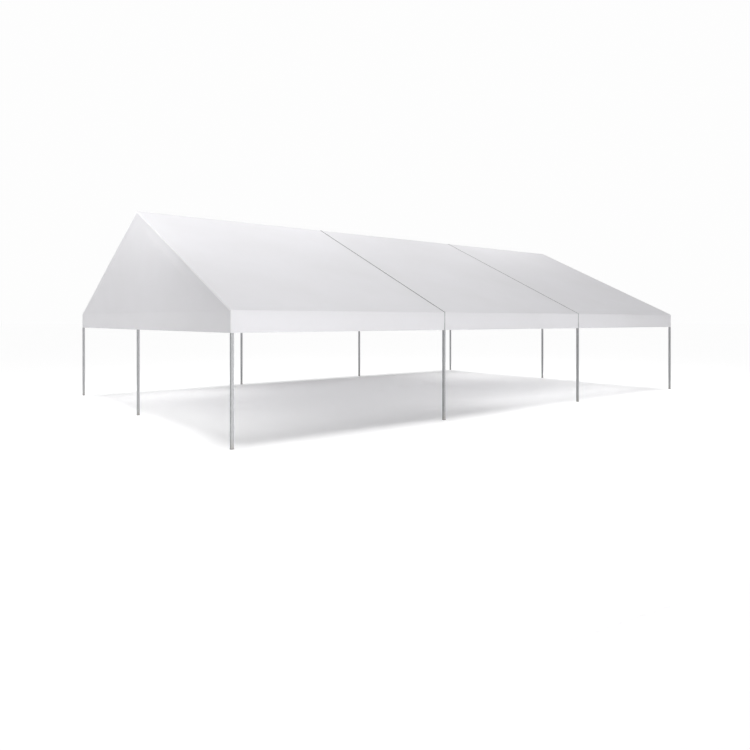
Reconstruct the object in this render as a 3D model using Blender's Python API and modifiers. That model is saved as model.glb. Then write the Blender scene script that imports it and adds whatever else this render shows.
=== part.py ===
# Marquee tent: a white gable-roofed frame tent of three bays, 12.2 m wide and 18.3 m long.
# Metres, +Z up. The origin is on the ground at the middle of the plan. X runs along the ridge,
# Y across the tent: the front long side is at -Y, the left gable at -X.
#
# Four portal frames of grooved aluminium profile stand on ten legs. Each frame is two legs, two
# corner brackets, two rafters and a ridge bracket. Eave beams and ridge beams join the frames,
# the end frames have a middle post with a beam on each side of it, and the two inner frames are
# held by a tie cable with a hanger. Each bay is covered by one panel of coated fabric from hem
# to hem, each gable by one flat panel.

import math

import bmesh
import bpy
from mathutils import Matrix, Vector

# Driving dimensions
BAY = 6.096               # leg to leg along each side, centre to centre
BAYS = 3
SPAN = 12.192             # front legs to back legs, centre to centre
EAVE_Z = 2.900            # fold line of the fabric at the eave
RIDGE_Z = 5.770           # fold line of the fabric at the ridge
VALANCE = 0.480           # drop of the fabric below the eave fold
PROFILE = 0.065           # width of every frame profile, and depth of the legs
RAFTER_DEPTH = 0.100
FABRIC = 0.004            # fabric thickness of these solids, thicker than the real cloth
GAP = 0.0003              # left between pieces that touch

# The inner frames' profile has a raised rib between two slots that hold the fabric's edge beads
RIB = 0.030
SLOT = 0.005
SLOT_DEPTH = 0.008
GROOVE_TOP = 0.014        # side groove for a wall panel, measured down from the outer face
GROOVE_WIDTH = 0.010
GROOVE_DEPTH = 0.005
GROOVE_DRAFT = 0.0005     # how far the groove narrows towards its floor, on each side
CORNER_RADIUS = 0.002
EDGE_RADIUS = 0.0015      # on the long edges of beams, brackets and foot plates

FOOT_SIDE = 0.080
FOOT_THICKNESS = 0.008
LEG_TOP = 2.620           # where a leg ends in its corner bracket
BRACKET_ARM = 0.420       # corner bracket's arm up the slope, from the eave fold
RIDGE_ARM = 0.400         # ridge bracket's arms down the slope, from the ridge fold
RIDGE_SEAT_Z = 5.560      # flat underside of the ridge bracket
GUSSET_Y = 5.900          # inner face of the corner bracket's gusset, from the middle of the tent
GUSSET_LOW_Z = 2.785
GUSSET_HEEL_Z = 2.700

EAVE_BEAM_DEPTH = 0.090
RIDGE_BEAM_BOTTOM_Z = 5.660
GABLE_BEAM_TOP = 2.870
GABLE_BEAM_DEPTH = 0.070
TIE_Z = 2.840
TIE_RADIUS = 0.006
LUG_RADIUS = 0.016
LUG_LENGTH = 0.090
HANGER_RADIUS = 0.008
CLAMP = (0.036, 0.060, 0.044)     # block that grips the cable, under the hanger's foot

# Worked out from them
SKIN = FABRIC + GAP
HALF_PROFILE = PROFILE / 2
HALF_W = SPAN / 2 + HALF_PROFILE + SKIN      # outer face of the long-side fabric
HALF_L = BAY * BAYS / 2 + HALF_PROFILE + SKIN
SLOPE = math.atan2(RIDGE_Z - EAVE_Z, HALF_W)
SLOPE_LENGTH = math.hypot(RIDGE_Z - EAVE_Z, HALF_W)
FRAME_X = [BAY * (i - BAYS / 2) for i in range(BAYS + 1)]
LEG_INNER_Y = SPAN / 2 - HALF_PROFILE
HEM_Z = EAVE_Z - VALANCE

# Colours seen in the photograph: white coated fabric, grey anodised profile
MATERIALS = {
    "fabric": ((0.86, 0.86, 0.87), 0.55, 0.0),
    "profile": ((0.56, 0.57, 0.58), 0.38, 0.9),
    "bracket": ((0.50, 0.51, 0.52), 0.45, 0.9),
    "cable": ((0.42, 0.43, 0.44), 0.35, 1.0),
}


def clear_scene():
    for ob in list(bpy.data.objects):
        bpy.data.objects.remove(ob, do_unlink=True)


def make_material(name):
    colour, roughness, metallic = MATERIALS[name]
    mat = bpy.data.materials.new(name)
    mat.use_nodes = True
    shader = mat.node_tree.nodes["Principled BSDF"]
    shader.inputs["Base Color"].default_value = (*colour, 1.0)
    shader.inputs["Roughness"].default_value = roughness
    shader.inputs["Metallic"].default_value = metallic
    return mat


def axes(origin, x, y, z):
    """A placing matrix whose columns are the three world directions given."""
    m = Matrix((x, y, z)).transposed().to_4x4()
    m.translation = Vector(origin)
    return m


def extruded(name, outline, half_length, placing):
    """A mesh object: a flat outline, filled and extruded both ways along its local Z."""
    curve = bpy.data.curves.new(name, "CURVE")
    curve.dimensions = "2D"
    curve.fill_mode = "BOTH"
    curve.extrude = half_length
    spline = curve.splines.new("POLY")
    spline.points.add(len(outline) - 1)
    for point, (u, v) in zip(spline.points, outline):
        point.co = (u, v, 0.0, 1.0)
    spline.use_cyclic_u = True
    guide = bpy.data.objects.new(name + "_outline", curve)
    bpy.context.scene.collection.objects.link(guide)
    mesh = bpy.data.meshes.new_from_object(
        guide.evaluated_get(bpy.context.evaluated_depsgraph_get()))
    bpy.data.objects.remove(guide, do_unlink=True)
    bm = bmesh.new()
    bm.from_mesh(mesh)
    bmesh.ops.remove_doubles(bm, verts=bm.verts, dist=1e-6)
    bmesh.ops.recalc_face_normals(bm, faces=bm.faces)
    bm.to_mesh(mesh)
    bm.free()
    mesh.name = name
    ob = bpy.data.objects.new(name, mesh)
    ob.matrix_world = placing
    return ob


def rod(name, start, end, radius, sides=12):
    """A round bar from one point to another."""
    start, end = Vector(start), Vector(end)
    bm = bmesh.new()
    bmesh.ops.create_cone(bm, cap_ends=True, segments=sides, radius1=radius, radius2=radius,
                          depth=(end - start).length)
    mesh = bpy.data.meshes.new(name)
    bm.to_mesh(mesh)
    bm.free()
    mesh.shade_smooth()
    mesh.set_sharp_from_angle(angle=math.radians(40))
    ob = bpy.data.objects.new(name, mesh)
    turn = (end - start).to_track_quat("Z", "Y")
    ob.matrix_world = Matrix.LocRotScale((start + end) / 2, turn, None)
    return ob


def block(name, low, high):
    """A rectangular block between two corners."""
    low, high = Vector(low), Vector(high)
    bm = bmesh.new()
    bmesh.ops.create_cube(bm, size=1.0)
    bmesh.ops.scale(bm, vec=high - low, verts=bm.verts)
    mesh = bpy.data.meshes.new(name)
    bm.to_mesh(mesh)
    bm.free()
    ob = bpy.data.objects.new(name, mesh)
    ob.location = (low + high) / 2
    return ob


def place(ob, material):
    TENT.objects.link(ob)
    ob.data.materials.clear()
    ob.data.materials.append(material)
    ob.parent = ANCHOR
    return ob


def united(ob, *others):
    """Joins the other shapes to the first, so that they are one body."""
    for other in others:
        CUTTERS.objects.link(other)
        other.hide_render = True
        other.display_type = "WIRE"
        other.parent = ANCHOR
        union = ob.modifiers.new("join_" + other.name, "BOOLEAN")
        union.operation = "UNION"
        union.solver = "EXACT"
        union.object = other
    return ob


def softened(ob):
    """Rounds the sharp edges a little."""
    bevel = ob.modifiers.new("soft_edges", "BEVEL")
    bevel.width = EDGE_RADIUS
    bevel.segments = 2
    bevel.limit_method = "ANGLE"
    bevel.angle_limit = math.radians(20)
    return ob


def on_slope(along, below):
    """(y, z) on the front slope: along it from the eave fold, and below the fabric's outer face."""
    y = -HALF_W + along * math.cos(SLOPE) + below * math.sin(SLOPE)
    z = EAVE_Z + along * math.sin(SLOPE) - below * math.cos(SLOPE)
    return y, z


def slope_z(y, below):
    """Height of the line that lies below the fabric's outer face, at a distance y from the middle."""
    return EAVE_Z + (HALF_W - abs(y)) * math.tan(SLOPE) - below / math.cos(SLOPE)


def mirrored(points):
    return [(-y, z) for y, z in reversed(points)]


def rounded_corner(u, v, start):
    """Three points round an outer corner at (u, v), from the angle start down through 90 degrees."""
    centre_v = v - CORNER_RADIUS if start > 0 else v + CORNER_RADIUS
    angles = [math.radians(start - turn) for turn in (0, 45, 90)]
    return [(u - CORNER_RADIUS + CORNER_RADIUS * math.cos(a), centre_v + CORNER_RADIUS * math.sin(a))
            for a in angles]


def profile_outline(depth, ribbed):
    """Section of a frame profile: u across it, v outward from the face that the fabric lies on."""
    half = []
    if ribbed:
        half += [(RIB / 2, SKIN), (RIB / 2, -SLOT_DEPTH),
                 (RIB / 2 + SLOT, -SLOT_DEPTH), (RIB / 2 + SLOT, 0.0)]
    half += rounded_corner(HALF_PROFILE, 0.0, 90)
    groove_low = -GROOVE_TOP - GROOVE_WIDTH
    floor_u = HALF_PROFILE - GROOVE_DEPTH
    half += [(HALF_PROFILE, -GROOVE_TOP), (floor_u, -GROOVE_TOP - GROOVE_DRAFT),
             (floor_u, groove_low + GROOVE_DRAFT), (HALF_PROFILE, groove_low)]
    half += rounded_corner(HALF_PROFILE, -depth, 0)
    return half + [(-u, v) for u, v in reversed(half)]


def on_frame(x):
    """Placing of an outline drawn in (y, z), extruded along X about the frame at x."""
    return axes((x, 0, 0), (0, 1, 0), (0, 0, 1), (1, 0, 0))


def is_inner(index):
    return 0 < index < BAYS


def leg(name, x, y, outward, ribbed, top, material):
    """A leg from its foot plate up, its outer face towards outward."""
    bottom = FOOT_THICKNESS / 2
    middle = (bottom + top) / 2
    face = Vector((x, y, middle)) + Vector(outward) * HALF_PROFILE
    across = Vector(outward).cross((0, 0, 1))
    tube = extruded(name, profile_outline(PROFILE, ribbed), (top - bottom) / 2,
                    axes(face, across, outward, (0, 0, 1)))
    half = FOOT_SIDE / 2
    plate = block(name + "_plate", (x - half, y - half, 0),
                  (x + half, y + half, FOOT_THICKNESS))
    return place(united(tube, plate), material)


def corner_bracket(name, x, side, ribbed, material):
    """The knee between a leg and its rafter, with a gusset inside the corner."""
    outer = SPAN / 2 + HALF_PROFILE
    depth = SKIN + RAFTER_DEPTH
    outline = [(-outer, LEG_TOP), (-outer, slope_z(outer, SKIN)), on_slope(BRACKET_ARM, SKIN),
               on_slope(BRACKET_ARM, depth), (-GUSSET_Y, slope_z(GUSSET_Y, depth)),
               (-GUSSET_Y, GUSSET_LOW_Z), (-LEG_INNER_Y, GUSSET_HEEL_Z), (-LEG_INNER_Y, LEG_TOP)]
    rib_root = SKIN + SLOT_DEPTH
    inner = HALF_W - rib_root
    rib = [(-HALF_W, LEG_TOP), (-HALF_W, EAVE_Z), on_slope(BRACKET_ARM, 0),
           on_slope(BRACKET_ARM, rib_root), (-inner, slope_z(inner, rib_root)), (-inner, LEG_TOP)]
    if side > 0:
        outline, rib = mirrored(outline), mirrored(rib)
    body = softened(extruded(name, outline, HALF_PROFILE, on_frame(x)))
    if ribbed:
        united(body, extruded(name + "_rib", rib, RIB / 2, on_frame(x)))
    return place(body, material)


def rafter(name, x, side, ribbed, material):
    """A straight profile from the corner bracket's arm to the ridge bracket's arm."""
    start, end = BRACKET_ARM + GAP, SLOPE_LENGTH - RIDGE_ARM - GAP
    y, z = on_slope((start + end) / 2, SKIN)
    run = Vector((0, math.cos(SLOPE), math.sin(SLOPE)))
    outward = Vector((0, -math.sin(SLOPE), math.cos(SLOPE)))
    if side > 0:
        y, run.y, outward.y = -y, -run.y, -outward.y
    placing = axes((x, y, z), outward.cross(run), outward, run)
    return place(extruded(name, profile_outline(RAFTER_DEPTH, ribbed), (end - start) / 2,
                          placing), material)


def ridge_bracket(name, x, ribbed, material):
    """The inverted V that joins two rafters, flat underneath where a post or hanger meets it."""
    depth = SKIN + RAFTER_DEPTH
    seat_y = HALF_W - (RIDGE_SEAT_Z + depth / math.cos(SLOPE) - EAVE_Z) / math.tan(SLOPE)
    arm = SLOPE_LENGTH - RIDGE_ARM
    left = [(-seat_y, RIDGE_SEAT_Z), on_slope(arm, depth), on_slope(arm, SKIN)]
    outline = left + [(0, slope_z(0, SKIN))] + mirrored(left)
    rib_root = SKIN + SLOT_DEPTH
    rib = [on_slope(arm, rib_root), on_slope(arm, 0), (0, RIDGE_Z)]
    rib += mirrored(rib[:2]) + [(0, slope_z(0, rib_root))]
    body = softened(extruded(name, outline, HALF_PROFILE, on_frame(x)))
    if ribbed:
        united(body, extruded(name + "_rib", rib, RIB / 2, on_frame(x)))
    return place(body, material)


def along_bay(name, index, outline, material):
    """A beam that fills one bay between two frames' brackets."""
    middle = (FRAME_X[index] + FRAME_X[index + 1]) / 2
    half = BAY / 2 - HALF_PROFILE - GAP
    return place(softened(extruded(name, outline, half, on_frame(middle))), material)


def eave_beam(name, index, side, material):
    """Behind the eave fold: its top follows the roof's slope, its outer face the valance."""
    outer = SPAN / 2 + HALF_PROFILE
    top = slope_z(outer, SKIN)
    outline = [(-outer, top - EAVE_BEAM_DEPTH), (-outer, top),
               (-LEG_INNER_Y, slope_z(LEG_INNER_Y, SKIN)), (-LEG_INNER_Y, top - EAVE_BEAM_DEPTH)]
    return along_bay(name, index, outline if side < 0 else mirrored(outline), material)


def ridge_beam(name, index, material):
    """Under the ridge fold, with a roof-shaped top."""
    left = [(-HALF_PROFILE, RIDGE_BEAM_BOTTOM_Z), (-HALF_PROFILE, slope_z(HALF_PROFILE, SKIN))]
    return along_bay(name, index, left + [(0, slope_z(0, SKIN))] + mirrored(left), material)


def gable_beam(name, x, side, material):
    """From the middle post of a gable to the corner bracket's gusset, behind the gable's fold."""
    inner, outer = HALF_PROFILE + GAP, GUSSET_Y - GAP
    low, high = sorted((side * inner, side * outer))
    beam = block(name, (x - HALF_PROFILE, low, GABLE_BEAM_TOP - GABLE_BEAM_DEPTH),
                 (x + HALF_PROFILE, high, GABLE_BEAM_TOP))
    return place(softened(beam), material)


def roof_panel(name, index, material):
    """One bay's fabric from hem to hem: valance, slope, ridge, slope and valance."""
    left, right = FRAME_X[index] + RIB / 2 + GAP, FRAME_X[index + 1] - RIB / 2 - GAP
    if index == 0:
        left = -HALF_L
    if index == BAYS - 1:
        right = HALF_L
    outer = [(-HALF_W, HEM_Z), (-HALF_W, EAVE_Z)]
    inside_y = HALF_W - FABRIC
    inner = [(-inside_y, HEM_Z), (-inside_y, slope_z(inside_y, FABRIC))]
    outline = outer + [(0, RIDGE_Z)] + mirrored(outer)
    outline += [(-y, z) for y, z in inner] + [(0, slope_z(0, FABRIC))] + list(reversed(inner))
    return place(extruded(name, outline, (right - left) / 2, on_frame((left + right) / 2)),
                 material)


def gable_panel(name, end, material):
    """The flat end fabric, triangle and valance in one, inside the edge of the roof panel."""
    outer = HALF_W - SKIN
    left = [(-outer, HEM_Z), (-outer, slope_z(outer, SKIN))]
    outline = left + [(0, slope_z(0, SKIN))] + mirrored(left)
    return place(extruded(name, outline, FABRIC / 2, on_frame(end * (HALF_L - FABRIC / 2))),
                 material)


def tie_cable(name, x, material):
    """A taut cable across an inner frame, with a lug at each gusset and a clamp at its middle."""
    end = GUSSET_Y - GAP
    grip = end - LUG_LENGTH / 2
    cable = rod(name, (x, -grip, TIE_Z), (x, grip, TIE_Z), TIE_RADIUS)
    lugs = [rod(name + "_lug", (x, side * end, TIE_Z), (x, side * (end - LUG_LENGTH), TIE_Z),
                LUG_RADIUS) for side in (-1, 1)]
    middle, half = Vector((x, 0, TIE_Z)), Vector(CLAMP) / 2
    clamp = block(name + "_clamp", middle - half, middle + half)
    return place(united(cable, *lugs, clamp), material)


def hanger(name, x, material):
    """The rod from the ridge bracket down to the tie cable's clamp."""
    foot = TIE_Z + CLAMP[2] / 2 + GAP
    return place(rod(name, (x, 0, foot), (x, 0, RIDGE_SEAT_Z - GAP), HANGER_RADIUS), material)


def build_tent():
    fabric, profile, bracket, cable = (make_material(name) for name in MATERIALS)
    for side, long_side in ((-1, "front"), (1, "back")):
        for i, x in enumerate(FRAME_X):
            tag = f"{long_side}_{i + 1}"
            leg(f"leg_{tag}", x, side * SPAN / 2, (0, side, 0), is_inner(i), LEG_TOP - GAP,
                profile)
            corner_bracket(f"corner_bracket_{tag}", x, side, is_inner(i), bracket)
            rafter(f"rafter_{tag}", x, side, is_inner(i), profile)
        for i in range(BAYS):
            eave_beam(f"eave_beam_{long_side}_{i + 1}", i, side, profile)
    for i, x in enumerate(FRAME_X):
        ridge_bracket(f"ridge_bracket_{i + 1}", x, is_inner(i), bracket)
        if is_inner(i):
            tie_cable(f"tie_cable_{i + 1}", x, cable)
            hanger(f"tie_hanger_{i + 1}", x, cable)
    for i in range(BAYS):
        ridge_beam(f"ridge_beam_{i + 1}", i, profile)
        roof_panel(f"roof_panel_{i + 1}", i, fabric)
    for end, gable in ((-1, "left"), (1, "right")):
        x = end * BAY * BAYS / 2
        leg(f"gable_post_{gable}", x, 0, (end, 0, 0), False, RIDGE_SEAT_Z - GAP, profile)
        for side, half in ((-1, "front"), (1, "back")):
            gable_beam(f"gable_beam_{gable}_{half}", x, side, profile)
        gable_panel(f"gable_panel_{gable}", end, fabric)


clear_scene()
TENT = bpy.data.collections.new("marquee_tent")
CUTTERS = bpy.data.collections.new("cutters")
for collection in (TENT, CUTTERS):
    bpy.context.scene.collection.children.link(collection)
ANCHOR = bpy.data.objects.new("tent_origin", None)
TENT.objects.link(ANCHOR)
build_tent()
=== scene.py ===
# %% [markdown]
# # A white marquee tent with three bays
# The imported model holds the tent's bones: ten legs, four portal frames, the beams between them and plain
# solids where the cloth goes. This script dresses them. It replaces the plain cloth solids with sheets that
# fold, sag and have welded seams, adds bolts, plates and cable fittings, gives every surface a finish made
# of nodes, and lights the tent on a pale floor. Everything is in metres, +Z up, in the frame's own
# coordinates.

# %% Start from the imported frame
import math

import bmesh
import bpy
import numpy as np
from mathutils import Matrix, Vector


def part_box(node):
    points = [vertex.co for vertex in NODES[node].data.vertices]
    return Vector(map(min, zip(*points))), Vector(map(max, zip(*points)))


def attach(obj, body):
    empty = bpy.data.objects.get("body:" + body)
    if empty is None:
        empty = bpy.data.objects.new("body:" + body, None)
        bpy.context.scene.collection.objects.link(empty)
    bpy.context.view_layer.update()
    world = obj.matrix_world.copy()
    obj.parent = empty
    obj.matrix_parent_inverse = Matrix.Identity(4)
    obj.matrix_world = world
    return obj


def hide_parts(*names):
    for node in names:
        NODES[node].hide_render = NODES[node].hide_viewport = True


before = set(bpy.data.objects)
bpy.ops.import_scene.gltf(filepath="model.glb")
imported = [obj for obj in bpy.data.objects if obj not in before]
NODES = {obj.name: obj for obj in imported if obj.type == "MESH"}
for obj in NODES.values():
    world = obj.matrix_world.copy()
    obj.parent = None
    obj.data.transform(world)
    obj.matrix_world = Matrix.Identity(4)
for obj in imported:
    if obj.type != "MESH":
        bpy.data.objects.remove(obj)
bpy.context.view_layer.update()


def placed(name, data):
    """A new object in the scene."""
    ob = bpy.data.objects.new(name, data)
    bpy.context.scene.collection.objects.link(ob)
    return ob


# %% [markdown]
# The cloth has to land on the frame exactly, so its sizes are read from the frame and not typed again. The
# plain roof panel gives the hem, the ridge and the outer face. The eave fold is the highest point on that
# outer face. The eave beam's outer face is the shoulder, the plane that the cloth lies on all along the
# frame.

# %% Sizes of the tent, read from the frame
panel_low, panel_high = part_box("roof_panel_1")
HEM_Z = panel_low.z
RIDGE_Z = panel_high.z
OUTER_Y = panel_high.y
TOUCH = 0.0001
EAVE_Z = max(v.co.z for v in NODES["roof_panel_1"].data.vertices if v.co.y > OUTER_Y - TOUCH)
SLOPE = math.atan2(RIDGE_Z - EAVE_Z, OUTER_Y)
SHOULDER = OUTER_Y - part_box("eave_beam_back_1")[1].y


def middle_x(node):
    low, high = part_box(node)
    return (low.x + high.x) / 2


def half_width(node):
    low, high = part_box(node)
    return (high.x - low.x) / 2


HALF_PROFILE = half_width("rafter_front_2")
FRAME_X = [middle_x(f"leg_front_{i}") for i in range(1, 5)]
END_FACE = -(FRAME_X[0] - HALF_PROFILE)
print(f"eave {EAVE_Z:.3f}, ridge {RIDGE_Z:.3f}, slope {math.degrees(SLOPE):.2f} degrees, frames at", FRAME_X)

# %% [markdown]
# The camera comes early, so that every later step can be looked at. The picture is taken from just below the
# height of the eaves, with a level camera: the legs stay upright in it. The horizon lies above the middle of
# the picture, which a level camera gives with a small lens shift instead of a tilt. The place and the lens
# come from fitting the feet, the eave corners and the ridge ends.

# %% Camera
LENS = 30.32
CAMERA_PLACE = (-14.859, -18.396, 2.686)
HEADING = 50.815   # degrees from +X to the way the camera looks
SHIFT = (-0.0233, -0.0731)
FAR = 2000.0

camera_data = bpy.data.cameras.new("camera")
camera_data.lens = LENS
camera_data.shift_x, camera_data.shift_y = SHIFT
camera_data.clip_end = FAR
camera = placed("camera", camera_data)
camera.location = CAMERA_PLACE
camera.rotation_euler = (math.radians(90), 0, math.radians(HEADING - 90))
bpy.context.scene.camera = camera
print("camera", CAMERA_PLACE, "lens", LENS, "mm")

# %% [markdown]
# A finish is a material made of nodes. A few small helpers keep the node code short: they add a node and set
# its values, link or set a socket, and start or place a group with named sockets. A group is built once and
# then placed in each material with its own numbers, so that the weave of the cloth or the grain of the metal
# is written once.

# %% Helpers for nodes
def add(tree, kind, **values):
    node = tree.nodes.new("ShaderNode" + kind)
    for name, value in values.items():
        setattr(node, name, value)
    return node


def fed(tree, socket, value):
    """Links a socket to another socket, or sets its number or colour."""
    if isinstance(value, bpy.types.NodeSocket):
        tree.links.new(value, socket)
    else:
        socket.default_value = value


def maths(tree, operation, *values):
    node = add(tree, "Math", operation=operation)
    for socket, value in zip(node.inputs, values):
        fed(tree, socket, value)
    return node.outputs[0]


def vector_maths(tree, operation, *values, scale=None):
    node = add(tree, "VectorMath", operation=operation)
    for socket, value in zip(node.inputs, values):
        fed(tree, socket, value)
    if scale is not None:
        fed(tree, node.inputs["Scale"], scale)
    return node.outputs["Value" if operation == "DOT_PRODUCT" else "Vector"]


def noise(tree, vector, scale, detail=2.0, roughness=0.5):
    node = add(tree, "TexNoise")
    fed(tree, node.inputs["Vector"], vector)
    fed(tree, node.inputs["Scale"], scale)
    node.inputs["Detail"].default_value = detail
    node.inputs["Roughness"].default_value = roughness
    return node.outputs["Fac"]


def between(tree, value, low, high, to_low=0.0, to_high=1.0):
    """Maps a value from one range to another, and holds it inside."""
    node = add(tree, "MapRange", clamp=True)
    for socket, number in zip(node.inputs, (value, low, high, to_low, to_high)):
        fed(tree, socket, number)
    return node.outputs["Result"]


def blended(tree, factor, first, second):
    node = add(tree, "Mix", data_type="RGBA")
    fed(tree, node.inputs["Factor"], factor)
    fed(tree, node.inputs["A"], first)
    fed(tree, node.inputs["B"], second)
    return node.outputs["Result"]


def start_group(name, inputs, outputs):
    """A shader group with named sockets. Returns the tree, its inputs by name and its output node."""
    tree = bpy.data.node_groups.new(name, "ShaderNodeTree")
    for direction, sockets in (("INPUT", inputs), ("OUTPUT", outputs)):
        for label, kind in sockets.items():
            tree.interface.new_socket(label, in_out=direction, socket_type="NodeSocket" + kind)
    return tree, tree.nodes.new("NodeGroupInput").outputs, tree.nodes.new("NodeGroupOutput").inputs


def place_group(tree, group, **values):
    """A group placed in a material. Underscores in the names stand for spaces."""
    node = tree.nodes.new("ShaderNodeGroup")
    node.node_tree = group
    for name, value in values.items():
        fed(tree, node.inputs[name.replace("_", " ")], value)
    return node.outputs


# %% [markdown]
# Marquee cloth is a polyester net with plastic on both faces. Seen close, the net shows through as a fine
# grid of low pillows. The product of two sine waves gives that grid. The cloth's UV map is in metres, so
# the pitch is too, and the threads run along the cut of each panel.

# %% Group: the woven net under the coating
def weave_group():
    tree, given, result = start_group(
        "net under coating", {"Cloth": "Vector", "Pitch": "Float"}, {"Height": "Float"})
    turns = maths(tree, "DIVIDE", 2 * math.pi, given["Pitch"])
    parts = add(tree, "SeparateXYZ")
    fed(tree, parts.inputs[0], vector_maths(tree, "SCALE", given["Cloth"], scale=turns))
    warp = maths(tree, "SINE", parts.outputs["X"])
    weft = maths(tree, "SINE", parts.outputs["Y"])
    fed(tree, result["Height"], maths(tree, "MULTIPLY", warp, weft))
    return tree


NET = weave_group()
print("group:", NET.name)

# %% [markdown]
# A sheet that has been packed many times keeps faint soft creases, and it is never dead flat between its
# seams. Noise at two sizes gives both. The same group puts out a slow patchiness, which the material uses
# to vary the white a little, as handling and rain do.

# %% Group: creases and patchiness of handled cloth
CREASE_BREADTH = 0.10
PATCH_SCALE = 0.45


def handled_group():
    tree, given, result = start_group(
        "handled cloth", {"Cloth": "Vector", "Crease Size": "Float"}, {"Height": "Float", "Patches": "Float"})
    fine = maths(tree, "DIVIDE", 1.0, given["Crease Size"])
    ridged = noise(tree, given["Cloth"], fine, detail=3.0)
    crease = maths(tree, "ABSOLUTE", maths(tree, "SUBTRACT", ridged, 0.5))
    fed(tree, result["Height"], between(tree, crease, 0.0, CREASE_BREADTH))
    fed(tree, result["Patches"], noise(tree, given["Cloth"], PATCH_SCALE, detail=4.0, roughness=0.6))
    return tree


HANDLED = handled_group()
print("group:", HANDLED.name)

# %% [markdown]
# Every frame profile is pushed through a die, which leaves fine straight lines along it. So the noise is
# stretched: the place on the surface is split into a part along the profile and the rest, and the part
# along it is made much shorter before the noise reads it. Which way is along is an input, because the legs
# stand, the beams lie and the rafters slope.

# %% Group: die lines on drawn metal
TONE_BREADTH = 9.0   # the bands of tone are this much wider than the lines


def die_group():
    tree, given, result = start_group(
        "die lines", {"Along": "Vector", "Line Width": "Float", "Stretch": "Float"},
        {"Height": "Float", "Tone": "Float"})
    place = add(tree, "TexCoord").outputs["Object"]
    length = vector_maths(tree, "DOT_PRODUCT", place, given["Along"])
    lengthwise = vector_maths(tree, "SCALE", given["Along"], scale=length)
    across = vector_maths(tree, "SUBTRACT", place, lengthwise)
    share = maths(tree, "DIVIDE", 1.0, given["Stretch"])
    squeezed = vector_maths(tree, "ADD", across, vector_maths(tree, "SCALE", lengthwise, scale=share))
    fine = maths(tree, "DIVIDE", 1.0, given["Line Width"])
    fed(tree, result["Height"], noise(tree, squeezed, fine, detail=2.0))
    coarse = maths(tree, "DIVIDE", fine, TONE_BREADTH)
    fed(tree, result["Tone"], noise(tree, squeezed, coarse, detail=3.0, roughness=0.65))
    return tree


DIE_LINES = die_group()
print("group:", DIE_LINES.name)

# %% [markdown]
# Metal that stands outdoors gets rubbed and scuffed, and the lowest part of a leg takes the dust. One group
# gives both as masks. The scuffs are noise with a high threshold, so only the peaks count. The dust fades
# with height above the ground, and noise breaks its edge. A third mask finds the faces that look up, which
# the finishes darken almost to black. This is partly grime that rain leaves there and partly painted shade
# that makes the ribs between the roof panels read dark.

# %% Group: scuffs, dust near the ground, and faces that look up for grime and painted shade
SCUFF_PEAKS = (0.58, 0.72)
LOOKING_UP = (0.3, 0.9)
DUST_FALL = 2.0


def wear_and_shade_group():
    tree, given, result = start_group(
        "outdoor wear", {"Scuff Size": "Float", "Dust Height": "Float"},
        {"Scuffs": "Float", "Dust": "Float", "Settled And Shaded": "Float"})
    place = add(tree, "TexCoord").outputs["Object"]
    grain = maths(tree, "DIVIDE", 1.0, given["Scuff Size"])
    broken = noise(tree, place, grain, detail=5.0, roughness=0.7)
    fed(tree, result["Scuffs"], between(tree, broken, *SCUFF_PEAKS))
    parts = add(tree, "SeparateXYZ")
    fed(tree, parts.inputs[0], place)
    height = maths(tree, "DIVIDE", parts.outputs["Z"], given["Dust Height"])
    low = maths(tree, "POWER", between(tree, height, 0.0, 1.0, 1.0, 0.0), DUST_FALL)
    fed(tree, result["Dust"], maths(tree, "MULTIPLY", low, broken))
    facing = add(tree, "SeparateXYZ")
    fed(tree, facing.inputs[0], add(tree, "NewGeometry").outputs["Normal"])
    # Faces that look up: the mask for grime and painted shade.
    fed(tree, result["Settled And Shaded"], between(tree, facing.outputs["Z"], *LOOKING_UP))
    return tree


WEAR_AND_SHADE = wear_and_shade_group()
print("group:", WEAR_AND_SHADE.name)

# %% [markdown]
# Each material starts the same way: an empty tree with one Principled shader on the output. The bump node
# turns a height, in metres, into a tilted normal. Its distance is one metre, so the heights stay real
# sizes.

# %% Helpers for materials
def start_material(name, roughness, metallic=0.0):
    material = bpy.data.materials.new(name)
    material.use_nodes = True
    tree = material.node_tree
    tree.nodes.clear()
    shader = add(tree, "BsdfPrincipled")
    shader.inputs["Roughness"].default_value = roughness
    shader.inputs["Metallic"].default_value = metallic
    tree.links.new(shader.outputs["BSDF"], add(tree, "OutputMaterial").inputs["Surface"])
    return material, tree, shader


def bumped(tree, shader, *heights):
    """Adds up pairs of (height, metres) and feeds the shader's normal."""
    total = None
    for height, metres in heights:
        part = maths(tree, "MULTIPLY", height, metres)
        total = part if total is None else maths(tree, "ADD", total, part)
    bump = add(tree, "Bump")
    bump.inputs["Distance"].default_value = 1.0
    fed(tree, bump.inputs["Height"], total)
    tree.links.new(bump.outputs["Normal"], shader.inputs["Normal"])
    return bump.outputs["Normal"]


# %% [markdown]
# The cloth is white, a little glossy and lets some light through. A Translucent shader mixed into the
# Principled one does that: the underside glows and the floor beneath stays light. A sheet here is a thin
# closed skin, so light passes two faces and the share per face is larger than the cloth's own. The roof,
# the gables and the bindings differ only in tone, so one function makes them all. The binding is whiter and
# lets less light through. This is partly a clean bound edge and partly a painted highlight for the light
# that the turned edge along the rake catches.

# %% Material: coated cloth
CLOTH_PITCH = 0.0021
NET_HEIGHT = 0.00004
CREASE_SIZE = 0.55
CREASE_HEIGHT = 0.0004
CLOTH_ROUGHNESS = 0.58
CLOTH_SPECULAR = 0.2


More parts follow.
